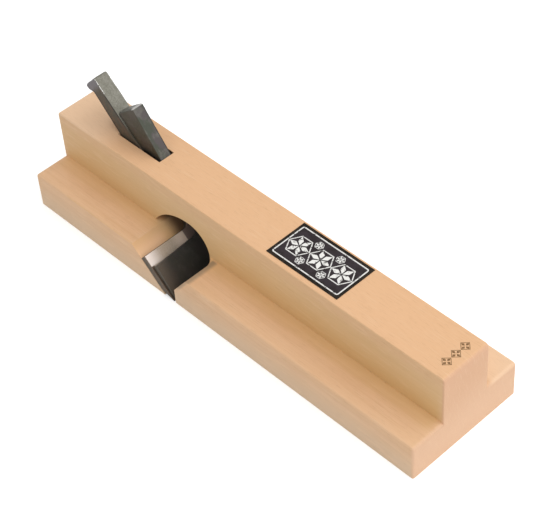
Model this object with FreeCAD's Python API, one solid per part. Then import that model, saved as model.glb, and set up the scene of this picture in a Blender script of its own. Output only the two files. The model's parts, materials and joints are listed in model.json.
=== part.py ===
# Hand plane with a low ledge on each side of a tall ridge, a T-shaped blade and a wedged chip breaker.
# The origin is the centre of the sole, +X points the way the plane cuts and +Z is up.
# Lengths are in millimetres and angles in degrees.
import FreeCAD, Part
import math
import os
from FreeCAD import Vector

# Wooden body
body_length = 210.0
body_width = 55.0
body_height = 40.0
ledge_height = 16.8
ridge_width = 23.2
end_rounding = 1.5
ledge_rounding = 0.9
ridge_rounding = 0.5

# Throat through both ledges, and the arched tunnel that carries it through the ridge
edge_from_rear = 82.9
blade_angle = 43.5
mouth_gap = 0.9
mouth_wall_height = 7.2
front_ahead_of_edge = 8.3
crown_height = 27.6
crown_behind_edge = 5.4
rear_arch_radius = 25.2
corner_length = 4.2
corner_depth = 2.9
corner_bulge = 0.6

# Blade: a plate as wide as the sole, with a narrow tang that thickens up to the top of the ridge
blade_length = 90.3
plate_length = 21.0
plate_thickness = 3.5
plate_side_inset = 0.1
shoulder_radius = 3.5
bevel_angle = 28.0
tang_width = 6.5
tang_thickness = 8.0
tang_neck_thickness = 6.9
tang_neck_from_head = 4.4
tang_head_thickness = 9.3
tang_head_length = 2.4
tang_head_rounding = 0.9
edge_recess = 0.1

# Hard cutting steel, forge welded to the face of the blade and hollowed on its open side
steel_thickness = 1.1
steel_length = 24.5
hollow_depth = 0.3
hollow_length = 12.0
hollow_edge_land = 4.0
hollow_side_land = 6.5

# Chip breaker: one long wedge, as wide as the blade below and a narrow stem above
breaker_setback = 1.0
breaker_length = 72.7
breaker_plate_length = 16.0
breaker_shoulder_drop = 1.4
breaker_side_inset = 0.7
breaker_edge_thickness = 1.2
breaker_edge_angle = 58.0
breaker_wedge_angle = 8.7
breaker_shoulder_radius = 3.0
stem_width = 5.4
stem_head_rounding = 0.9
breaker_steel_thickness = 0.7
breaker_steel_length = 8.0

# Printed paper label on top of the ridge
label_length = 36.5
label_width = 20.0
label_thickness = 0.2
label_from_front = 53.7
label_offset = 0.6

# Clearances of the pieces that slide, the overrun of every cut, and how near counts as touching
bed_gap = 0.2
face_gap = 0.1
wedge_gap = 0.3
mortise_side_gap = 0.45
overrun = 2.0
touch = 0.001

# Places that follow from the sizes above
slope = math.radians(blade_angle)
edge_x = edge_from_rear - body_length / 2
wall_x = edge_x + mouth_gap
front_x = edge_x + front_ahead_of_edge
crown_x = edge_x - crown_behind_edge
front_foot_x = front_x - corner_depth
bed_depth = plate_thickness + bed_gap
blade_width = body_width - 2 * plate_side_inset
breaker_width = body_width - 2 * breaker_side_inset
breaker_shoulder = breaker_setback + breaker_plate_length
breaker_end = breaker_setback + breaker_length


def on_blade(along, above, side=0.0):
    """Point so far up the blade from its edge, above its face and to one side of its middle."""
    x = edge_x - along * math.cos(slope) + above * math.sin(slope)
    z = edge_recess + along * math.sin(slope) + above * math.cos(slope)
    return Vector(x, side, z)


def at_height(low, high, z):
    """Point at height z on the straight line through two points."""
    return low + (high - low) * ((z - low.z) / (high.z - low.z))


def pushed(points, run):
    """Solid that a closed outline sweeps along one straight run."""
    return Part.Face(Part.makePolygon(points + [points[0]])).extrude(run)


def across(profile, width):
    """Solid with a side profile in blade sizes, reaching as far to both sides of the middle."""
    points = [on_blade(along, above, -width / 2) for along, above in profile]
    return pushed(points, Vector(0, width, 0))


def tee(start, shoulder, drop, end, wide, narrow, low, high, radius):
    """T-shaped slab on the blade's slope, with rounded inner corners where it narrows."""
    plan = [(start, wide), (shoulder - drop, wide), (shoulder, narrow), (end, narrow),
            (end, -narrow), (shoulder, -narrow), (shoulder - drop, -wide), (start, -wide)]
    slab = pushed([on_blade(along, low, side / 2) for along, side in plan],
                  on_blade(start, high) - on_blade(start, low))
    middle = on_blade(shoulder, (low + high) / 2)
    corners = [middle + Vector(0, side / 2, 0) for side in (narrow, -narrow)]
    inner = [edge for edge in slab.Edges
             if min(edge.CenterOfMass.distanceToPoint(corner) for corner in corners) < touch]
    return slab.makeFillet(radius, inner)


def edges_in_plane(shape, first, second):
    """Edges of a shape that lie in the plane, square to its middle, through two points."""
    normal = (second - first).cross(Vector(0, 1, 0)).normalize()
    return [edge for edge in shape.Edges
            if all(abs((vertex.Point - first).dot(normal)) < touch for vertex in edge.Vertexes)]


def wedge_top(along):
    """Height of the chip breaker's front surface above the blade's face."""
    edge_run = breaker_edge_thickness / math.tan(math.radians(breaker_edge_angle))
    rise = (along - breaker_setback - edge_run) * math.tan(math.radians(breaker_wedge_angle))
    return face_gap + breaker_edge_thickness + rise


def tang_crest():
    """Distance up the blade at which the back of its tang comes out of the ridge."""
    return (body_height - edge_recess + tang_thickness * math.cos(slope)) / math.sin(slope)


def rounded_bar(width, height, rounding):
    """Bar as long as the body, with its upper end edges well rounded and its other corners less."""
    bar = Part.makeBox(body_length, width, height, Vector(-body_length / 2, -width / 2, 0))
    ends = [edge for edge in bar.Edges if abs(edge.CenterOfMass.z - height) < touch
            and abs(edge.CenterOfMass.y) < touch]
    bar = bar.makeFillet(end_rounding, ends)
    sides = [edge for edge in bar.Edges if edge.CenterOfMass.z > touch
             and abs(abs(edge.CenterOfMass.y) - width / 2) < touch]
    return bar.makeFillet(rounding, sides)


def front_slope(x):
    """Height of the throat's sloping front above the sole, at a place along the body."""
    rise = (ledge_height - mouth_wall_height) / (front_x - wall_x)
    return mouth_wall_height + (x - wall_x) * rise


def tunnel():
    """Cut right across for the blade and the shavings: bed, mouth wall, front and the arch over them."""
    side = -body_width / 2 - overrun
    bed_foot = on_blade(0, -bed_depth, side)
    bed_top = on_blade(plate_length, -bed_depth, side)
    rear_centre = crown_height - rear_arch_radius
    rear_run = math.sqrt(rear_arch_radius ** 2 - (ledge_height - rear_centre) ** 2)
    rear_half = math.sqrt(rear_arch_radius ** 2 - (rear_run / 2) ** 2)
    diagonal = math.radians(45)
    front_foot = Vector(front_foot_x, side, ledge_height)
    rear_foot = Vector(crown_x - rear_run, side, ledge_height)
    crown = Vector(crown_x, side, crown_height)
    corners = [rear_foot, at_height(bed_foot, bed_top, ledge_height), at_height(bed_foot, bed_top, -overrun),
               Vector(wall_x, side, -overrun), Vector(wall_x, side, mouth_wall_height),
               Vector(front_foot_x, side, front_slope(front_foot_x)), front_foot]
    outline = [Part.LineSegment(a, b).toShape() for a, b in zip(corners, corners[1:])]
    front_middle = Vector(crown_x + (front_foot_x - crown_x) * math.cos(diagonal), side,
                          ledge_height + (crown_height - ledge_height) * math.sin(diagonal))
    rear_middle = Vector(crown_x - rear_run / 2, side, rear_centre + rear_half)
    outline.append(Part.Arc(front_foot, front_middle, crown).toShape())
    outline.append(Part.Arc(crown, rear_middle, rear_foot).toShape())
    return Part.Face(Part.Wire(outline)).extrude(Vector(0, -2 * side, 0))


def ledge_front(hand):
    """Cut that carries the sloping front up through one ledge, rounded off where it meets the ridge."""
    behind, ahead = front_foot_x - overrun, front_x + overrun
    inner, outer = hand * ridge_width / 2, hand * (body_width / 2 + overrun)
    above = front_slope(ahead) + overrun
    profile = [(behind, front_slope(behind)), (ahead, front_slope(ahead)), (ahead, above), (behind, above)]
    wedge = pushed([Vector(x, inner, z) for x, z in profile], Vector(0, outer - inner, 0))
    foot, turn = Vector(front_foot_x, inner, 0), Vector(front_x, inner + hand * corner_length, 0)
    middle = (foot + turn) / 2
    bulge = middle + (Vector(front_x, inner, 0) - middle).normalize() * corner_bulge
    plan = [turn, Vector(ahead, turn.y, 0), Vector(ahead, outer, 0), Vector(behind, outer, 0),
            Vector(behind, inner, 0), foot]
    outline = [Part.LineSegment(a, b).toShape() for a, b in zip(plan, plan[1:])]
    outline.append(Part.Arc(foot, bulge, turn).toShape())
    return wedge.common(Part.Face(Part.Wire(outline)).extrude(Vector(0, 0, body_height)))


def mortise():
    """Tapered slot down through the ridge that holds the tang and the stem wedged in front of it."""
    width = max(tang_width, stem_width) + 2 * mortise_side_gap
    rear_low = on_blade(plate_length, -bed_depth, -width / 2)
    rear_high = on_blade(tang_crest(), -tang_thickness - bed_gap, -width / 2)
    front_low = on_blade(breaker_shoulder, wedge_top(breaker_shoulder) + wedge_gap, -width / 2)
    front_high = on_blade(breaker_end, wedge_top(breaker_end) + wedge_gap, -width / 2)
    above_ridge = body_height + overrun
    outline = [rear_low, at_height(rear_low, rear_high, above_ridge),
               at_height(front_low, front_high, above_ridge), front_low]
    return pushed(outline, Vector(0, width, 0))


def body_block():
    """Body with its throat, tunnel and mortise."""
    base = rounded_bar(body_width, ledge_height, ledge_rounding)
    block = base.fuse(rounded_bar(ridge_width, body_height, ridge_rounding)).removeSplitter()
    for cutter in (tunnel(), ledge_front(-1), ledge_front(1), mortise()):
        block = block.cut(cutter)
    return block.removeSplitter()


def whole_blade():
    """Blade as it is forged and ground: T-shaped plate, thick tang, bevel and hammered-over head."""
    blade = tee(0, plate_length, 0, blade_length, blade_width, tang_width,
                -plate_thickness, 0, shoulder_radius)
    head_start = on_blade(blade_length - tang_head_length, -tang_head_thickness)
    swell = [(plate_length, -plate_thickness), (tang_crest(), -tang_thickness),
             (blade_length - tang_neck_from_head, -tang_neck_thickness),
             (blade_length - tang_head_length, -tang_head_thickness),
             (blade_length, -tang_head_thickness), (blade_length, -plate_thickness)]
    blade = blade.fuse(across(swell, tang_width)).removeSplitter()
    head = edges_in_plane(blade, on_blade(blade_length, 0), on_blade(blade_length, -plate_thickness))
    head += [edge for edge in blade.Edges if edge.CenterOfMass.distanceToPoint(head_start) < touch]
    blade = blade.makeFillet(tang_head_rounding, head)
    below = plate_thickness + overrun
    bevel_run = below / math.tan(math.radians(bevel_angle))
    bevel = [(0, 0), (bevel_run, -below), (-overrun, -below), (-overrun, 0)]
    return blade.cut(across(bevel, blade_width + overrun))


def face_layer(start, end, low, high):
    """Slab that parts the hard steel of a laminated piece from its soft iron."""
    return across([(start, low), (end, low), (end, high), (start, high)], body_width)


def hollow():
    """Shallow trough, part of a large cylinder, that leaves flat lands round it."""
    radius = (hollow_length ** 2 / 4 + hollow_depth ** 2) / (2 * hollow_depth)
    width = blade_width - 2 * hollow_side_land
    centre = on_blade(hollow_edge_land + hollow_length / 2, radius - hollow_depth, -width / 2)
    return Part.makeCylinder(radius, width, centre, Vector(0, 1, 0))


def whole_breaker():
    """Chip breaker as one wedge from its edge to its head, wide below and narrow above."""
    head_rise = math.tan(math.radians(breaker_wedge_angle))
    head_above = (wedge_top(breaker_end) - face_gap) / (1 + head_rise ** 2)
    front_end = breaker_end - head_above * head_rise
    edge_run = breaker_edge_thickness / math.tan(math.radians(breaker_edge_angle))
    profile = [(breaker_setback, face_gap), (breaker_end, face_gap),
               (front_end, face_gap + head_above),
               (breaker_setback + edge_run, face_gap + breaker_edge_thickness)]
    plan = tee(breaker_setback - overrun, breaker_shoulder, breaker_shoulder_drop,
               breaker_end + overrun, breaker_width, stem_width, 0,
               face_gap + head_above + overrun, breaker_shoulder_radius)
    wedge = across(profile, body_width).common(plan)
    head = edges_in_plane(wedge, on_blade(*profile[1]), on_blade(*profile[2]))
    return wedge.makeFillet(stem_head_rounding, head)


def top_label():
    """Thin paper sheet on the flat of the ridge."""
    corner = Vector(body_length / 2 - label_from_front - label_length,
                    label_offset - label_width / 2, body_height)
    return Part.makeBox(label_length, label_width, label_thickness, corner)


blade = whole_blade()
blade_face = face_layer(-overrun, steel_length, -steel_thickness, overrun)
breaker = whole_breaker()
breaker_face = face_layer(breaker_setback, breaker_setback + breaker_steel_length,
                          face_gap, face_gap + breaker_steel_thickness)
pieces = {
    "body_block": body_block(),
    "blade_iron": blade.cut(blade_face),
    "blade_steel": blade.common(blade_face).cut(hollow()),
    "chip_breaker_iron": breaker.cut(breaker_face),
    "chip_breaker_steel": breaker.common(breaker_face),
    "top_label": top_label(),
}

os.makedirs("parts", exist_ok=True)
for name, shape in pieces.items():
    shape.exportStep("parts/" + name + ".step")
    box = shape.BoundBox
    print(name, "valid", shape.isValid(), "solids", len(shape.Solids), "volume", round(shape.Volume, 1),
          "x", round(box.XMin, 2), round(box.XMax, 2), "y", round(box.YMin, 2), round(box.YMax, 2),
          "z", round(box.ZMin, 2), round(box.ZMax, 2))
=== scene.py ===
import json
import math
import bmesh
import bpy
from mathutils import Matrix, Vector, noise


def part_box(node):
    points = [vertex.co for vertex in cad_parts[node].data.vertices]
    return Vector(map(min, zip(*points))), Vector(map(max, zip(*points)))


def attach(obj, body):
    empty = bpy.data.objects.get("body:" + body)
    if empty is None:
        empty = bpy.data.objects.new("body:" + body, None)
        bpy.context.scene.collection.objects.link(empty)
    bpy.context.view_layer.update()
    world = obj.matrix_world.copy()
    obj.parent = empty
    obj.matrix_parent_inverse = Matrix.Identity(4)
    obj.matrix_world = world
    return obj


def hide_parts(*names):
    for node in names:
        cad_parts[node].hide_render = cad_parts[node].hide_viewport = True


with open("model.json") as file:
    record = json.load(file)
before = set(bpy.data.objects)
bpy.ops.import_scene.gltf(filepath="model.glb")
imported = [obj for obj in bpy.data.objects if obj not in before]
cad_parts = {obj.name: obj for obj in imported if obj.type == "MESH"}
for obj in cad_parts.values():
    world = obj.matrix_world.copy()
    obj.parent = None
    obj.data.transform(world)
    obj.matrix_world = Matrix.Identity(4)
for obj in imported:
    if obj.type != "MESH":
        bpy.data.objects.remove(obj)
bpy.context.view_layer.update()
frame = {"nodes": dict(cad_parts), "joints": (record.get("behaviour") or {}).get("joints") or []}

# The camera looks down on the right side and the front end of the plane, from as far off as its
# nearly parallel edges call for, with a long lens and a slight roll.
azimuth = math.radians(49.626)
elevation = math.radians(45.434)
roll = math.radians(-5.07)
aim = Vector((0.00393, -0.00038, 0.02089))
aim_distance = 0.6737
lens_length = 118.745
sensor_width = 36
back = Vector((math.sin(azimuth) * math.cos(elevation), -math.cos(azimuth) * math.cos(elevation),
               math.sin(elevation)))
level = Vector((math.cos(azimuth), math.sin(azimuth), 0))
right = Matrix.Rotation(roll, 3, back) @ level
turn = Matrix((right, back.cross(right), back)).transposed().to_4x4()
camera = bpy.data.objects.new("camera", bpy.data.cameras.new("camera"))
camera.data.lens = lens_length
camera.data.sensor_width = sensor_width
camera.matrix_world = Matrix.Translation(aim + back * aim_distance) @ turn
bpy.context.scene.collection.objects.link(camera)
bpy.context.scene.camera = camera

# The body is one block of pale white oak, planed smooth and left bare. The throat, the tunnel
# through the ridge and the mortise for the irons are chiselled and pared out of the solid wood.
# Sizes from here to the burnt marks are in millimetres, and colours are linear.
oak = (0.80, 0.500, 0.285, 1)
oak_pale = (0.86, 0.560, 0.340, 1)
oak_brown = (0.66, 0.380, 0.180, 1)
top_light_pink = (0.82, 0.475, 0.300, 1)
top_light_peach = (0.866, 0.527, 0.277, 1)
side_shade_straw = (0.745, 0.540, 0.270, 1)
floor_bounce_grey = (0.79, 0.592, 0.410, 1)
painted_light_tan = (0.93, 0.655, 0.440, 1)
crease_shade_gold = (0.75, 0.490, 0.195, 1)
end_brown = (0.765, 0.460, 0.290, 1)
end_cream = (0.855, 0.560, 0.375, 1)
ray_cream = (0.90, 0.62, 0.39, 1)
pore_brown = (0.42, 0.225, 0.095, 1)
bed_cream = (1.00, 0.632, 0.366, 1)
bed_gold = (1.00, 0.595, 0.265, 1)
bed_tan = (0.79, 0.490, 0.245, 1)
throat_shade_brown = (0.10, 0.048, 0.022, 1)
mouth_shade = (0.25, 0.190, 0.130, 1)
body_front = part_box("body_block")[1][0] * 1000
body_half_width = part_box("body_block")[1][1] * 1000
body_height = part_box("body_block")[1][2] * 1000
ledge_height = 16.8
ridge_half_width = 11.6
mortise_half_width = 6
arch_top = 29
bed_depth = -3.7
bed_rear = -44
bed_front = -32
throat_rear = -85
throat_front = -13.8
throat_slope = 0.77
broken_corner = 0.25
chamfer = 0.9
ridge_round = 0.5
ledge_round = 0.8
round_segments = 4
corner_angle = math.radians(30)
corner_tolerance = 0.05
flat_angle = math.radians(0.5)
sharp_angle = math.radians(50)
merge_distance = 0.001
ring_width = 2.4
ring_stretch = 0.12
heart_below = 95
heart_aside = 24
ray_tilt = math.radians(-12)
ray_size = (9, 0.28, 6)
pore_size = (5, 0.16, 0.16)
fibre_size = (46, 0.55, 0.55)
streak_size = (120, 2.6, 3.4)
patch_size = (60, 20, 18)
grain_relief = 0.035
crease_reach = 16
crease_fade = (-40, 80)
far_turn = (-5, 5)
end_shade = (4, 34)
front_light = (20, 90)
rear_light = (-68, -88)
tunnel_dark = 5.2
bed_light_fade = (7, 16)
bed_golden = (17, 10)
mouth_fade = (3.1, 0.9)
side_fade = (7.5, 11.5)


def merged(node):
    """Mesh of a CAD node, its loose triangles joined into whole faces."""
    source = frame["nodes"][node].data
    mesh = bmesh.new()
    points = [mesh.verts.new(vertex.co) for vertex in source.vertices]
    for face in source.polygons:
        mesh.faces.new([points[index] for index in face.vertices])
    bmesh.ops.remove_doubles(mesh, verts=mesh.verts, dist=merge_distance / 1000)
    bmesh.ops.dissolve_limit(mesh, angle_limit=flat_angle, verts=mesh.verts, edges=mesh.edges)
    return mesh


def eased(mesh, lines, width, segments):
    """Takes the corner off lines of a mesh, flat with one segment and round with more.

    Gives the new faces.
    """
    return bmesh.ops.bevel(mesh, geom=lines, offset=width / 1000, offset_type="OFFSET",
                           segments=segments, profile=0.5, affect="EDGES",
                           clamp_overlap=True)["faces"]


def softened(mesh, width):
    """Breaks the outer corners of a mesh, and marks its faces there as worn."""
    worn = mesh.faces.layers.float.new("worn")
    corners = [line for line in mesh.edges
               if line.is_convex and line.calc_face_angle() > corner_angle]
    for face in eased(mesh, corners, width, 2):
        face[worn] = 1
    return mesh


def along_corner(mesh, axes, corner):
    """Lines of a mesh along a corner, given by its distances from the middle on two axes."""
    return [line for line in mesh.edges if all(
        abs(abs(point.co[axis]) * 1000 - at) < corner_tolerance
        for point in line.verts for axis, at in zip(axes, corner))]


def shown(name, mesh, node, body):
    """Piece made from a mesh, shown in place of a CAD node."""
    shape = bpy.data.meshes.new(name)
    mesh.to_mesh(shape)
    mesh.free()
    shape.polygons.foreach_set("use_smooth", [True] * len(shape.polygons))
    shape.set_sharp_from_angle(angle=sharp_angle)
    piece = bpy.data.objects.new(name, shape)
    bpy.context.scene.collection.objects.link(piece)
    piece.modifiers.new("even_shading", "WEIGHTED_NORMAL").keep_sharp = True
    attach(piece, body)
    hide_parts(node)
    return piece


def fill(sockets, values):
    """Gives sockets, by identifier, a value, a link or a list of links."""
    for socket in sockets:
        value = values.get(socket.identifier)
        links = value if isinstance(value, list) else [value]
        for link in links:
            if isinstance(link, Socket):
                socket.id_data.links.new(link.socket, socket)
            elif link is not None:
                socket.default_value = link


class Socket:
    """Output of a node. Arithmetic on it adds Math nodes, and node() adds any other kind."""

    def __init__(self, socket):
        self.socket = socket

    def node(self, kind, settings, values, output):
        """Output of a new node in the same tree. Its settings are made before its sockets."""
        node = self.socket.id_data.nodes.new(kind)
        for name, setting in settings.items():
            setattr(node, name, setting)
        fill(node.inputs, values)
        return Socket(next(socket for socket in node.outputs if socket.identifier == output))

    def maths(self, operation, first, second):
        return self.node("ShaderNodeMath", {"operation": operation},
                         {"Value": first, "Value_001": second}, "Value")

    def __add__(self, other):
        return self.maths("ADD", self, other)

    def __sub__(self, other):
        return self.maths("SUBTRACT", self, other)

    def __rsub__(self, other):
        return self.maths("SUBTRACT", other, self)

    def __mul__(self, other):
        return self.maths("MULTIPLY", self, other)

    __radd__ = __add__
    __rmul__ = __mul__


def mapped(place, values):
    """Place moved, turned or scaled by a Mapping node with these values."""
    return place.node("ShaderNodeMapping", {}, {"Vector": place, **values}, "Vector")


def new_material(name):
    """Material, and the place of each point of its piece in millimetres."""
    material = bpy.data.materials.new(name)
    material.use_nodes = True
    place = Socket(material.node_tree.nodes.new("ShaderNodeTexCoord").outputs["Object"])
    return material, mapped(place, {"Scale": (1000, 1000, 1000)})


def surface(material, values):
    """Gives a material's surface its values and links."""
    fill(material.node_tree.nodes["Principled BSDF"].inputs, values)


def cover(piece, material, values):
    """Gives a piece its material, and the material's surface its values and links."""
    surface(material, values)
    piece.data.materials.clear()
    piece.data.materials.append(material)


def cloud(place, sizes, detail=2.0, roughness=0.5):
    """Noise whose marks have these sizes along the three axes."""
    scaled = mapped(place, {"Scale": tuple(1 / size for size in sizes)})
    return scaled.node("ShaderNodeTexNoise", {}, {
        "Vector": scaled, "Scale": 1, "Detail": detail, "Roughness": roughness}, "Fac")


def ease(value, low, high):
    """Smooth rise from 0 to 1 as a value goes from low to high."""
    return value.node("ShaderNodeMapRange", {"interpolation_type": "SMOOTHSTEP"},
                      {"Value": value, "From Min": low, "From Max": high}, "Result")


def tinted(share, first, second):
    """Colour that goes from the first to the second with a share from 0 to 1."""
    return share.node("ShaderNodeMix", {"data_type": "RGBA"}, {
        "Factor_Float": share, "A_Color": first, "B_Color": second}, "Result_Color")


def layered(colour, tints):
    """Colour with tints laid over it in turn, each with its share from 0 to 1."""
    for tint, share in tints:
        colour = tinted(share, colour, tint)
    return colour


def relief(height, depth):
    """Normal for a height from 0 to 1 that stands for a depth."""
    return height.node("ShaderNodeBump", {}, {"Height": height, "Distance": depth / 1000}, "Normal")


def part_of(place, letter):
    return place.node("ShaderNodeSeparateXYZ", {}, {"Vector": place}, letter)


def from_middle(place):
    """Distance from the middle plane of the object."""
    side = part_of(place, "Y")
    return side.node("ShaderNodeMath", {"operation": "ABSOLUTE"}, {"Value": side}, "Value")


def worn_corner(place):
    return place.node("ShaderNodeAttribute", {"attribute_name": "worn"}, {}, "Fac")


slide = Vector(next(joint["axis"] for joint in frame["joints"] if joint["name"] == "blade_slide"))
slope = math.atan2(slide.z, -slide.x)
edge = Vector((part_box("blade_steel")[1][0], 0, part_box("blade_steel")[0][2])) * 1000
to_bench = Matrix.Rotation(-slope, 4, "Y") @ Matrix.Translation(-edge / 1000)


def on_blade(place):
    """Place on the blade's own axes.

    X is minus the way up from its edge, Y the way aside and Z the height above its face.
    """
    return mapped(place, {"Location": to_bench.to_translation() * 1000, "Rotation": (0, -slope, 0)})


mesh = merged("body_block")
front_lip = [line for line in along_corner(mesh, (0, 2), (body_front, body_height))
             if line.verts[0].co.x > 0]
eased(mesh, front_lip, chamfer, 1)
ridge_corners = along_corner(mesh, (1, 2), (ridge_half_width, body_height))
eased(mesh, ridge_corners, ridge_round, round_segments)
ledge_corners = along_corner(mesh, (1, 2), (body_half_width, ledge_height))
eased(mesh, ledge_corners, ledge_round, round_segments)
body = shown("planed_body", softened(mesh, broken_corner), "body_block", "plane_body")

material, place = new_material("planed_oak")
about_heart = mapped(place, {"Location": (0, -heart_aside, heart_below),
                             "Scale": (ring_stretch, 1, 1)})
rings = about_heart.node("ShaderNodeTexWave", {"wave_type": "RINGS", "rings_direction": "X"}, {
    "Vector": about_heart, "Scale": math.pi / 10 / ring_width, "Distortion": 5, "Detail": 2,
    "Detail Scale": 0.06, "Detail Roughness": 0.5}, "Fac")
tilted = mapped(place, {"Rotation": (ray_tilt, 0, 0)})
rays = ease(cloud(tilted, ray_size, detail=0), 0.64, 0.72)
pores = ease(cloud(tilted, pore_size, detail=1), 0.62, 0.72)
fibres = cloud(tilted, fibre_size, detail=3, roughness=0.6)
streaks = cloud(tilted, streak_size)
patches = cloud(place, patch_size)
length = part_of(place, "X")
height = part_of(place, "Z")
side = from_middle(place)
far_side = ease(part_of(place, "Y"), *far_turn)

# Painted shade deep in the throat, on its walls and along the worn rims of the arch and the
# mortise.
# The bed has painted light: cream outside, golden further in and tan near its top edge, and it
# gives way to the painted shade under the ridge.
near_throat = (ease(length, throat_rear - 1, throat_rear)
               * ease(length, throat_front + 1.2, throat_front))
in_throat = (near_throat * ease(height, 0.2, 1)
             * ease(height, body_height - 0.1, body_height - 0.5))
shaded_depth = in_throat * ease(side, ridge_half_width - 0.4, tunnel_dark)
above_bed = part_of(on_blade(place), "Z")
shaded_wall = (in_throat * ease(side, ridge_half_width - 0.05, ridge_half_width - 0.3)
           * ease(above_bed, bed_depth + 0.1, bed_depth + 0.3))
lit_bed = (in_throat * ease(height, ledge_height, ledge_height - 0.3)
          * ease(side, body_half_width - 0.1, body_half_width - 0.3) * ease(side, *bed_light_fade)
          * ease(length, bed_front, bed_front - 1))
lit_bed_colour = layered(tinted(ease(side, *bed_golden), bed_cream, bed_gold), [
    (bed_tan, ease(height, ledge_height - 3.8, ledge_height - 0.3) * 0.85)])
bed_lip = (ease(height, ledge_height + 0.5, ledge_height + 0.3)
           * ease(length, bed_rear + 2, bed_rear + 1))
arch_rim = (ease(height, arch_top + 1, arch_top)
            * ease(side, body_half_width - 0.4, body_half_width - 0.5) * (1 - bed_lip))
mortise_rim = (ease(height, body_height - 2, body_height - 1)
               * ease(side, mortise_half_width + 1, mortise_half_width))
shaded_rim = near_throat * worn_corner(place) * (arch_rim + mortise_rim)

# A soft shade runs along the front of the throat, over the ledge and down the long side.
ahead = length - throat_front + (ledge_height - height) * throat_slope
on_long_side = ease(side, body_half_width - 0.6, body_half_width - 0.2)
beside_ridge = (ease(side, ridge_half_width, ridge_half_width + 1)
                * ease(height, ledge_height + 1.2, ledge_height + 0.2))
on_inner_wall = (1 - ease(height, ledge_height - 1.3, ledge_height - 0.3)) * (1 - on_long_side)
side_share = ease(height, *side_fade) * 0.75
at_mouth = (ease(ahead * (1 + on_long_side * 0.5), *mouth_fade) * ease(ahead, -1, 0)
            * beside_ridge * (1 - on_inner_wall) * (1 - on_long_side * (1 - side_share)))

# Painted shade, golden, in the crease between ridge and ledge, least on the far side.
crease = tilted.node("ShaderNodeCombineXYZ", {}, {
    "X": (side - ridge_half_width) * 1.7, "Y": (height - ledge_height) * 0.75}, "Vector")
crease = crease.node("ShaderNodeVectorMath", {"operation": "LENGTH"}, {"Vector": crease}, "Value")
off_ends = (ease(length, body_front - 0.5, body_front - 4)
            * ease(length, 0.5 - body_front, 4 - body_front))
crease_shade = (ease(crease, crease_reach, 0) * (0.55 - far_side * 0.5)
             * (0.8 + ease(length, *crease_fade) * 0.2) * off_ends)

# Painted light and shade on whole faces: the top pinker and lighter, the ridge's sides yellower in
# shade, the front end lit and paler towards the bottom, greyer light from the floor low on the long
# sides, and painted light on the far front of the ledge and where the irons' shadow falls on the
# top.
on_top = ease(height, body_height - 0.5, body_height - 0.2)
lit_rear_top = ease(length, *rear_light) * ease(height, body_height - 1.5, body_height - 0.5)
on_ridge_side = (ease(side, ridge_half_width - 0.2, ridge_half_width - 0.05)
                 * ease(height, ledge_height + 0.1, ledge_height + 0.3)
                 * ease(side, ridge_half_width + 0.4, ridge_half_width + 0.2))
at_end = ease(length, body_front - 1.4, body_front - 0.2)
lit_end_colour = tinted(ease(height, *end_shade), end_cream, end_brown)
floor_bounce_low_side = (ease(height, ledge_height + 0.2, 0)
               * ease(side, body_half_width - 0.7, body_half_width - 0.2) * (1 - at_end))
lit_far_front = (far_side * ease(length, *front_light)
             * ease(side, ridge_half_width + 0.4, ridge_half_width + 4.4)
             * ease(height, ledge_height + 1.2, ledge_height + 0.2)
             * ease(height, ledge_height - 1.8, ledge_height - 0.2))
# The base tone, streaks, rings, fibres, rays and pores are the wood's own; the other tints are
# painted light and shade.
colour = layered(tinted(ease(patches, 0.3, 0.7), oak, oak_pale), [
    (oak_brown, ease(streaks, 0.42, 0.78) * 0.26),
    (oak_brown, rings * 0.1),
    (oak_brown, ease(fibres, 0.5, 0.8) * 0.22),
    (top_light_pink, ease(height, body_height - 8, body_height - 1) * 0.6),
    (top_light_peach, on_top * 0.6),
    (side_shade_straw, on_ridge_side * 0.4),
    (lit_end_colour, at_end * 0.8),
    (floor_bounce_grey, floor_bounce_low_side * 0.9),
    (painted_light_tan, lit_far_front * 0.75),
    (painted_light_tan, lit_rear_top * 0.7),
    (ray_cream, rays * 0.25),
    (pore_brown, pores * 0.22),
    (crease_shade_gold, crease_shade),
    (lit_bed_colour, lit_bed * 0.9),
    (throat_shade_brown, shaded_depth * 0.85),
    (throat_shade_brown, shaded_wall * 0.85),
    (throat_shade_brown, shaded_rim * 0.6),
    (mouth_shade, at_mouth * (0.45 + patches * 0.5))])
cover(body, material, {
    "Base Color": colour,
    "Roughness": 0.52 + fibres * 0.14 - rays * 0.08,
    "Specular IOR Level": 0.25,
    "Normal": relief(0.6 + fibres * 0.3 - pores * 0.6 - rays * 0.1, grain_relief)})

# The blade is soft iron, a plate forged in one with its thick tang. The tang keeps the dark skin of
# the forge, its face is ground, and hammering has spread and scuffed its head.
iron_skin = (0.078, 0.070, 0.050, 1)
iron_rust = (0.115, 0.078, 0.052, 1)
iron_ground = (0.228, 0.220, 0.188, 1)
iron_dull = (0.158, 0.153, 0.123, 1)
corner_shadow_black = (0.015, 0.014, 0.012, 1)
head_grey = (0.205, 0.192, 0.208, 1)
steel_bright = (0.88, 0.87, 0.85, 1)
plate_length = 21
blade_length = 90.3
tang_depth = 9.3
tang_half_width = 3.25
tang_taper = 0.0564
tang_back = -11.74
head_start = blade_length - 3
iron_corner = 0.15
plain_run = 4
length_step = 0.8
head_step = 0.35
cross_step = 0.6
forging_dents = 0.12
hammer_dents = 0.2
dent_run = 2
broad_dents_per_mm = 0.35
small_dents_per_mm = 1.1
bare_tang = (64, 70)
iron_mottle = (2.4, 2.0, 2.0)
iron_speck = (0.6, 0.6, 0.6)
iron_lines = (0.15, 6, 6)
iron_relief = 0.10


def steps(low, high, step):
    """Even places from low to high, in metres."""
    count = math.ceil((high - low) / step)
    return [(low + (high - low) * number / count) / 1000 for number in range(count + 1)]


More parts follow.
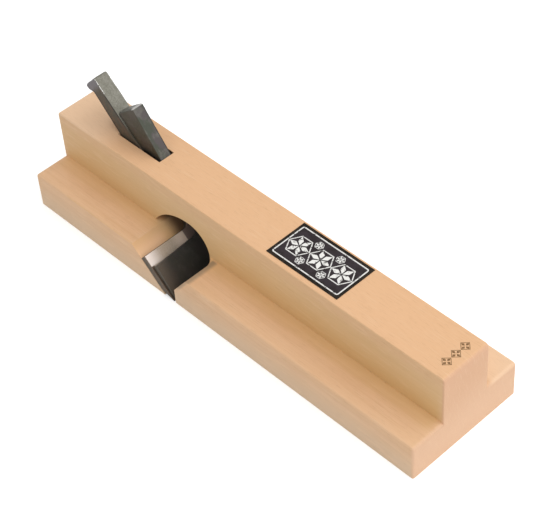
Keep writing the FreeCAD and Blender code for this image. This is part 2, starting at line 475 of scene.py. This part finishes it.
def hammered(mesh, grid, depth, head=math.inf, head_depth=0):
    """Cuts an iron's faces into a grid on the blade's axes, and dents them towards its middle line.

    The dents start at the grid's first place along the iron. Past its head's start they have a
    depth of their own.
    """
    mesh.transform(to_bench)
    for direction, places in zip(Matrix.Identity(3), grid):
        for at in places:
            bmesh.ops.bisect_plane(mesh, geom=mesh.verts[:] + mesh.edges[:] + mesh.faces[:],
                                   dist=merge_distance / 1000, plane_co=direction * at,
                                   plane_no=direction)
    start, end, half_width, low, high = (1000 * at for at in (
        grid[0][0], grid[0][-1], grid[1][-1], grid[2][0], grid[2][-1]))
    for point in mesh.verts:
        spot = point.co * 1000
        if spot.x < start:
            rough = (noise.noise(spot * broad_dents_per_mm) * 0.6
                     + noise.noise(spot * small_dents_per_mm) * 0.4)
            inwards = Vector((max(1 - (spot.x - end) / dent_run, 0), -spot.y / half_width,
                              (low + high - 2 * spot.z) / (high - low)))
            share = min((start - spot.x) / dent_run, 1)
            dent = head_depth if -spot.x > head else depth
            point.co += inwards * share * dent * (1 - rough) / 2000
    mesh.transform(to_bench.inverted())
    return mesh


grid = ([-at for at in steps(plate_length + plain_run, head_start, length_step)]
        + [-at for at in steps(head_start, blade_length, head_step)],
        steps(-tang_half_width, tang_half_width, cross_step), steps(-tang_depth, 0, cross_step))
mesh = softened(merged("blade_iron"), iron_corner)
mesh = hammered(mesh, grid, forging_dents, head_start, hammer_dents)
iron = shown("forged_blade", mesh, "blade_iron", "blade")

material, place = new_material("forged_and_ground_iron")
place = on_blade(place)
along = 0 - part_of(place, "X")
above = part_of(place, "Z")
side = from_middle(place)
mottle = cloud(place, iron_mottle, detail=4, roughness=0.65)
speck = cloud(place, iron_speck, detail=3, roughness=0.6)
ground_lines = cloud(place, iron_lines)
on_end = ease(along, blade_length - 1.3, blade_length - 0.7)
on_face = ease(above + on_end * 0.8, -0.4, -0.12)
above_breaker = ease(along, *bare_tang)
near_head = ease(along, blade_length - 8.5, blade_length - 6.5)
on_head = ease(along + mottle * 3, blade_length - 4.4, blade_length - 0.6)
# Along the tang's corners: near the head a bright line, scuffed metal and a painted highlight, and
# lower down dark lines along the corners, a painted shadow.
by_corner = ease(side, tang_half_width - 0.4, tang_half_width - 0.2)
scuffed_glint = by_corner * ease(above, -0.5, -0.25) * near_head * ease(speck, 0.42, 0.56)
front_line = ease(above, -1.5, -1) * (1 - on_face) * (1 - near_head)
back_line = ease(above - along * tang_taper, tang_back + 1.1, tang_back + 0.7) * (1 - on_head)
shadow_under_corner = by_corner * above_breaker * (front_line + back_line)
bare = on_face * above_breaker
ground = tinted(ease(mottle * 0.5 + speck * 0.5, 0.38, 0.62), iron_dull, iron_ground)
colour = layered(tinted(ease(mottle, 0.40, 0.66), iron_skin, iron_rust), [
    (ground, bare),
    (head_grey, on_head * (1 - on_face) * 0.8),
    (corner_shadow_black, shadow_under_corner * 0.8),
    (steel_bright, scuffed_glint * 0.8)])
cover(iron, material, {
    "Base Color": colour,
    "Metallic": 0.35 + bare * 0.4,
    "Roughness": 0.55 - bare * 0.08 + speck * 0.15,
    "Normal": relief(speck * 0.6 + mottle * 0.4 + ground_lines * 0.1, iron_relief)})

# The face of the blade is hard steel, forge welded to the iron. It is ground bright towards its
# sides, where a painted reflection lightens its colour too, keeps the skin of the forge in the
# middle, and is honed at the edge. Towards the middle, beside the skin, a painted reflection makes
# it lighter and warmer.
pale_ground_sheen = (0.79, 0.735, 0.705, 1)
steel_grey = (0.47, 0.375, 0.275, 1)
reflection_warm = (0.92, 0.735, 0.578, 1)
steel_skin = (0.30, 0.220, 0.190, 1)
blade_half_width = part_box("blade_steel")[1][1] * 1000
skin_half_width = 7.7
band_start = 15.8
reflection_middle = (15, 9)
steel_grit = (0.35, 0.5, 0.5)
steel_lines = (0.12, 8, 8)
steel_relief = 0.02

material, place = new_material("honed_steel")
place = on_blade(place)
along = 0 - part_of(place, "X")
side = from_middle(place)
grit = cloud(place, steel_grit, detail=3)
ground_lines = cloud(place, steel_lines)
ground_band = ease(along, band_start, band_start + 0.6)
outer = ease(side, blade_half_width - 8.4, blade_half_width - 1.4) * ground_band
skin = (ease(side, skin_half_width + 0.25, skin_half_width - 0.25)
        * ease(along, band_start - 0.8, band_start + 0.2))
flank = ease(side, blade_half_width - 0.12, blade_half_width - 0.02)
flank = flank + ((1 - flank) * (1 - ground_band)
                 * ease(side, blade_half_width - 1.5, blade_half_width - 1))
colour = layered(tinted(ease(side, *reflection_middle), steel_grey, reflection_warm), [
    (steel_bright, ease(grit, 0.35, 0.65) * 0.2),
    (pale_ground_sheen, outer),
    (steel_skin, skin),
    (iron_rust, flank)])
cover(frame["nodes"]["blade_steel"], material, {
    "Base Color": colour,
    "Metallic": 0.55 + outer * 0.35,
    "Roughness": 0.52 - outer * 0.16 + grit * 0.1,
    "Normal": relief(ground_lines * 0.3 + grit * 0.4, steel_relief)})

# The chip breaker is a plate with a wedge for a stem, forged of iron and still black from the
# forge. The stem jams in the mortise in front of the tang and holds both irons down.
scale_black = (0.032, 0.030, 0.026, 1)
scale_green = (0.060, 0.066, 0.049, 1)
scale_purple = (0.085, 0.072, 0.073, 1)
scale_grey = (0.15, 0.145, 0.125, 1)
scale_brown = (0.130, 0.105, 0.080, 1)
scale_rust = (0.048, 0.036, 0.019, 1)
steel_worn = (0.54, 0.53, 0.51, 1)
breaker_half_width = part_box("chip_breaker_iron")[1][1] * 1000
breaker_end = 73.7
stem_start = 17
stem_half_width = 2.7
stem_foot = 0.6
stem_height = 11.9
wedge_rise = math.tan(math.radians(8.7))
stem_fade = (22, 40)
brown_sides = (20, 27)
scale_mottle = (4, 3, 3)
scale_tint = (8, 4, 4)
scale_relief = 0.08

grid = ([-at for at in steps(stem_start + plain_run, breaker_end, length_step)],
        steps(-stem_half_width, stem_half_width, cross_step),
        steps(stem_foot, stem_height, length_step))
mesh = softened(merged("chip_breaker_iron"), iron_corner)
breaker = shown("black_chip_breaker", hammered(mesh, grid, forging_dents), "chip_breaker_iron",
                "chip_breaker")

material, place = new_material("black_forging_scale")
place = on_blade(place)
along = 0 - part_of(place, "X")
above = part_of(place, "Z")
side = from_middle(place)
mottle = cloud(place, scale_mottle, detail=4, roughness=0.6)
tint = cloud(place, scale_tint)
speck = cloud(place, iron_speck, detail=3)
up = along + above * wedge_rise
on_stem = ease(along, *stem_fade)
on_flank = ease(side, breaker_half_width - 0.3, breaker_half_width - 0.15)
stem_flank = ease(side, stem_half_width - 0.4, stem_half_width - 0.1) * on_stem
# Painted shade: the stem's far flank is darkened.
shaded_far_flank = ease(part_of(place, "Y"), stem_half_width - 0.7, stem_half_width - 0.3) * on_stem
# A bright band along the top of the stem's head: burnished by hammering, and a painted highlight.
burnished_highlight = (ease(up, breaker_end - 0.8, breaker_end - 0.4)
             * ease(above, stem_height - 1.2, stem_height - 0.8))
# The plate is darker than the stem, and browner towards its sides.
colour = layered(tinted(ease(tint, 0.42, 0.6), scale_green, scale_purple), [
    (scale_grey, ease(mottle, 0.45, 0.75)),
    (scale_black, (1 - on_stem) * 0.8),
    (scale_brown, ease(side, *brown_sides) * 0.8),
    (scale_rust, on_flank * 0.5),
    (scale_rust, stem_flank * 0.65),
    (scale_black, shaded_far_flank * 0.85),
    (scale_grey, ease(up, breaker_end - 0.5, breaker_end - 0.2) * 0.8),
    (steel_worn, burnished_highlight * 0.7)])
cover(breaker, material, {
    "Base Color": colour,
    "Metallic": 0.4 + burnished_highlight * 0.4,
    "Roughness": 0.45 + mottle * 0.2 - burnished_highlight * 0.1,
    "Normal": relief(speck * 0.5 + mottle, scale_relief)})

# A strip of hard steel is forge welded along the chip breaker's edge. It presses on the blade's
# face close behind its edge, and is as dark as the iron.
strip_speck = (0.5, 0.5, 0.5)

material, place = new_material("breaker_steel")
speck = cloud(on_blade(place), strip_speck, detail=3)
cover(frame["nodes"]["chip_breaker_steel"], material, {
    "Base Color": tinted(ease(speck, 0.4, 0.7), scale_black, scale_brown),
    "Metallic": 0.6,
    "Roughness": 0.4 + speck * 0.15,
    "Normal": relief(speck, steel_relief)})

# The label is a strip of black paper glued to the top of the ridge. Inside its printed line it has
# faded a little.
ink_black = (0.010, 0.007, 0.004, 1)
ink_brown = (0.026, 0.018, 0.012, 1)
ink_worn = (0.040, 0.031, 0.036, 1)
label_low, label_high = (Vector(corner) * 1000 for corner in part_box("top_label"))
label_middle = (label_low + label_high) / 2
line_inset = Vector((1.5, 1.65, 0))
line_fade = 0.3
paper_tooth = (0.3, 0.3, 0.3)
paper_wash = (3, 3, 3)
paper_relief = 0.02

material, place = new_material("black_paper")
tooth = cloud(place, paper_tooth, detail=3)
wash = ease(cloud(place, paper_wash, detail=3), 0.4, 0.6)
aside = place.node("ShaderNodeVectorMath", {"operation": "SUBTRACT"}, {
    "Vector": place, "Vector_001": label_middle}, "Vector")
aside = aside.node("ShaderNodeVectorMath", {"operation": "ABSOLUTE"}, {"Vector": aside}, "Vector")
reach = (label_high - label_low) / 2 - line_inset
inside = (ease(part_of(aside, "X"), reach.x, reach.x - line_fade)
          * ease(part_of(aside, "Y"), reach.y, reach.y - line_fade))
colour = tinted(wash, ink_black, ink_brown)
cover(frame["nodes"]["top_label"], material, {
    "Base Color": tinted(inside * (0.6 + wash * 0.4), colour, ink_worn),
    "Roughness": 0.6 + tooth * 0.2,
    "Specular IOR Level": 0.15,
    "Normal": relief(tooth, paper_relief)})

# The print on the label is thin white ink, patchy with wear: a line round it, and inside a row of
# hemp-leaf rosettes, a common pattern, with small ones in the gaps.
print_white = (0.92, 0.91, 0.87, 1)
print_thin = (0.16, 0.15, 0.14, 1)
print_patch = (1.1, 1.1, 1.1)
print_relief = 0.01
ink_thickness = 0.04
line_width = 0.55
line_corner = 0.7
rosette_step = 10.9
rosette_sizes = {"Radius": 5.2, "Petal Length": 4.47, "Petal Width": 2.1, "Line Width": 0.5}
lozenge_aside = 5.2
lozenge_sizes = {"Radius": 1.9, "Petal Length": 1.63, "Petal Width": 0.8, "Line Width": 0.25}


def new_tree(name, inputs):
    """Node tree with named inputs, given as their kinds, and the sockets those come from."""
    tree = bpy.data.node_groups.new(name, "GeometryNodeTree")
    for title, kind in inputs.items():
        tree.interface.new_socket(title, in_out="INPUT", socket_type="NodeSocket" + kind)
    tree.interface.new_socket("Mesh", in_out="OUTPUT", socket_type="NodeSocketGeometry")
    given = tree.nodes.new("NodeGroupInput").outputs
    return tree, {title: Socket(given[title]) for title in inputs}


def close_tree(tree, shape, ink):
    """Ends a tree with real faces in one ink."""
    real = shape.node("GeometryNodeRealizeInstances", {}, {"Geometry": shape}, "Geometry")
    inked = real.node("GeometryNodeSetMaterial", {}, {"Geometry": real, "Material": ink},
                      "Geometry")
    tree.links.new(inked.socket, tree.nodes.new("NodeGroupOutput").inputs["Mesh"])


def stroke(path, width, thickness):
    """Flat band of ink along a path."""
    section = path.node("GeometryNodeCurvePrimitiveQuadrilateral", {"mode": "RECTANGLE"},
                        {"Width": width, "Height": thickness}, "Curve")
    return path.node("GeometryNodeCurveToMesh", {}, {"Curve": path, "Profile Curve": section},
                     "Mesh")


def printed(name, tree, values, body):
    """Plain mesh that a tree makes from its values, riding on a body."""
    piece = bpy.data.objects.new(name, bpy.data.meshes.new(name))
    bpy.context.scene.collection.objects.link(piece)
    modifier = piece.modifiers.new("print", "NODES")
    modifier.node_group = tree
    for item in tree.interface.items_tree:
        if item.in_out == "INPUT":
            modifier[item.identifier] = values[item.name]
    graph = bpy.context.evaluated_depsgraph_get()
    mesh = bpy.data.meshes.new_from_object(piece.evaluated_get(graph), depsgraph=graph)
    piece.modifiers.clear()
    piece.data = mesh
    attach(piece, body)


line_tree, given = new_tree("printed_line", {
    "Length": "Float", "Width": "Float", "Corner": "Float", "Line Width": "Float",
    "Thickness": "Float", "Middle": "Vector", "Ink": "Material"})
path = given["Length"].node("GeometryNodeCurvePrimitiveQuadrilateral", {"mode": "RECTANGLE"},
                            {"Width": given["Length"], "Height": given["Width"]}, "Curve")
path = path.node("GeometryNodeFilletCurve", {"mode": "POLY"},
                 {"Curve": path, "Count": 4, "Radius": given["Corner"]}, "Curve")
line = stroke(path, given["Line Width"], given["Thickness"])
line = line.node("GeometryNodeTransform", {}, {
    "Geometry": line, "Translation": given["Middle"]}, "Geometry")
close_tree(line_tree, line, given["Ink"])

rosette_tree, given = new_tree("rosettes", {
    "Count": "Int", "Start": "Vector", "Step": "Vector", "Sides": "Int", "Petals": "Int",
    "Radius": "Float", "Petal Length": "Float", "Petal Width": "Float", "Line Width": "Float",
    "Thickness": "Float", "Ink": "Material"})
ring = given["Radius"].node("GeometryNodeCurvePrimitiveCircle", {"mode": "RADIUS"},
                            {"Resolution": given["Sides"], "Radius": given["Radius"]}, "Curve")
ring = stroke(ring, given["Line Width"], given["Thickness"])
middles = ring.node("GeometryNodeMeshCircle", {"fill_type": "NONE"}, {
    "Vertices": given["Petals"], "Radius": given["Radius"] * 0.5}, "Mesh")
lozenge = ring.node("GeometryNodeMeshCylinder", {"fill_type": "NGON"}, {
    "Vertices": 4, "Radius": 0.5, "Depth": 1}, "Mesh")
spot = middles.node("GeometryNodeInputPosition", {}, {}, "Position")
outwards = spot.node("FunctionNodeAlignRotationToVector", {"axis": "X"}, {"Vector": spot},
                     "Rotation")
size = middles.node("ShaderNodeCombineXYZ", {}, {
    "X": given["Petal Length"], "Y": given["Petal Width"], "Z": given["Thickness"]}, "Vector")
petals = middles.node("GeometryNodeInstanceOnPoints", {}, {
    "Points": middles, "Instance": lozenge, "Rotation": outwards, "Scale": size}, "Instances")
rosette = ring.node("GeometryNodeJoinGeometry", {}, {"Geometry": [ring, petals]}, "Geometry")
row = ring.node("GeometryNodeMeshLine", {"mode": "OFFSET"}, {
    "Count": given["Count"], "Start Location": given["Start"], "Offset": given["Step"]}, "Mesh")
rosettes = ring.node("GeometryNodeInstanceOnPoints", {}, {"Points": row, "Instance": rosette},
                     "Instances")
close_tree(rosette_tree, rosettes, given["Ink"])


def printed_row(name, ink, count, start, step, sides, sizes):
    """Row of rosettes on the body, each a ring with as many sides as it has petals."""
    printed(name, rosette_tree, {
        "Count": count, "Start": Vector(start) / 1000, "Step": Vector(step) / 1000, "Sides": sides,
        "Petals": sides, "Thickness": ink_thickness / 1000, "Ink": ink,
        **{title: size / 1000 for title, size in sizes.items()}}, "plane_body")


white_print, place = new_material("white_print")
patchy = cloud(place, print_patch, detail=3, roughness=0.6)
surface(white_print, {
    "Base Color": tinted(ease(patchy, 0.57, 0.64), print_white, print_thin),
    "Roughness": 0.6 + patchy * 0.2,
    "Normal": relief(patchy, print_relief)})
printed("label_line", line_tree, {
    "Length": (label_high.x - label_low.x - 2 * line_inset.x) / 1000,
    "Width": (label_high.y - label_low.y - 2 * line_inset.y) / 1000,
    "Corner": line_corner / 1000, "Line Width": line_width / 1000,
    "Thickness": ink_thickness / 1000,
    "Middle": Vector((label_middle.x, label_middle.y, label_high.z)) / 1000,
    "Ink": white_print}, "plane_body")
printed_row("label_rosettes", white_print, 3,
            (label_middle.x - rosette_step, label_middle.y, label_high.z),
            (rosette_step, 0, 0), 6, rosette_sizes)
for number, way in enumerate((-1, 1)):
    printed_row("label_lozenges_%d" % number, white_print, 2,
                (label_middle.x - rosette_step / 2, label_middle.y + way * lozenge_aside,
                 label_high.z), (rosette_step, 0, 0), 6, lozenge_sizes)

# Three small plain marks are burnt into the top of the ridge near its front end with a hot iron.
# The wood is dark brown in them and lighter where the iron touched it less.
burnt = (0.19, 0.090, 0.028, 1)
burnt_edge = (0.32, 0.190, 0.085, 1)
burnt_patch = (0.5, 0.5, 0.5)
burnt_relief = 0.02
marks_from_front = 5.4
marks_aside = 0.4
mark_step = 4.85
mark_sizes = {"Radius": 2.2, "Petal Length": 1.68, "Petal Width": 1.2, "Line Width": 0.35}

burnt_wood, place = new_material("burnt_wood")
patchy = cloud(place, burnt_patch)
surface(burnt_wood, {
    "Base Color": tinted(ease(patchy, 0.4, 0.65), burnt, burnt_edge),
    "Roughness": 0.65 + patchy * 0.2,
    "Normal": relief(patchy, burnt_relief)})
printed_row("burnt_marks", burnt_wood, 3,
            (body_front - marks_from_front, marks_aside - mark_step, body_height),
            (0, mark_step, 0), 4, mark_sizes)

# A plain pale sheet lies under the plane, with an even white surround and one large soft lamp
# high over the far side of the front end. Sizes here are in metres.
floor_size = 3.0
floor_colour = (0.93, 0.93, 0.93, 1)
floor_glow = 0.43
surround_grey = (0.58, 0.58, 0.58, 1)
black = (0, 0, 0, 1)
white = (1, 1, 1, 1)
lamp_size = 1.3
lamp_energy = 5.8
lamp_distance = 0.9
lamp_direction = Vector((0.48, 0.21, 0.85)).normalized()


def in_sight(place):
    """1 for light that the camera meets, straight on, in a reflection or through something."""
    kinds = [place.node("ShaderNodeLightPath", {}, {}, kind) for kind in (
        "Is Camera Ray", "Is Glossy Ray", "Is Transmission Ray")]
    return kinds[0] + kinds[1] + kinds[2]


mesh = bpy.data.meshes.new("floor")
half = floor_size / 2
mesh.from_pydata([(-half, -half, 0), (half, -half, 0), (half, half, 0), (-half, half, 0)], [],
                 [(0, 1, 2, 3)])
floor = bpy.data.objects.new("floor", mesh)
bpy.context.scene.collection.objects.link(floor)
material, place = new_material("pale_floor")
cover(floor, material, {
    "Base Color": floor_colour,
    "Roughness": 0.9,
    "Specular IOR Level": 0.0,
    "Emission Color": tinted(in_sight(place), black, white),
    "Emission Strength": floor_glow})

world = bpy.data.worlds.new("surround")
world.use_nodes = True
bpy.context.scene.world = world
sky = world.node_tree.nodes["Background"]
sight = in_sight(Socket(world.node_tree.nodes.new("ShaderNodeTexCoord").outputs["Object"]))
fill(sky.inputs, {"Color": tinted(sight, surround_grey, white), "Strength": 1})

lamp = bpy.data.objects.new("lamp", bpy.data.lights.new("lamp", "AREA"))
lamp.data.size = lamp_size
lamp.data.energy = lamp_energy
lamp.matrix_world = (Matrix.Translation(lamp_direction * lamp_distance)
                     @ lamp_direction.to_track_quat("Z", "Y").to_matrix().to_4x4())
bpy.context.scene.collection.objects.link(lamp)
bpy.context.scene.view_settings.view_transform = "Standard"
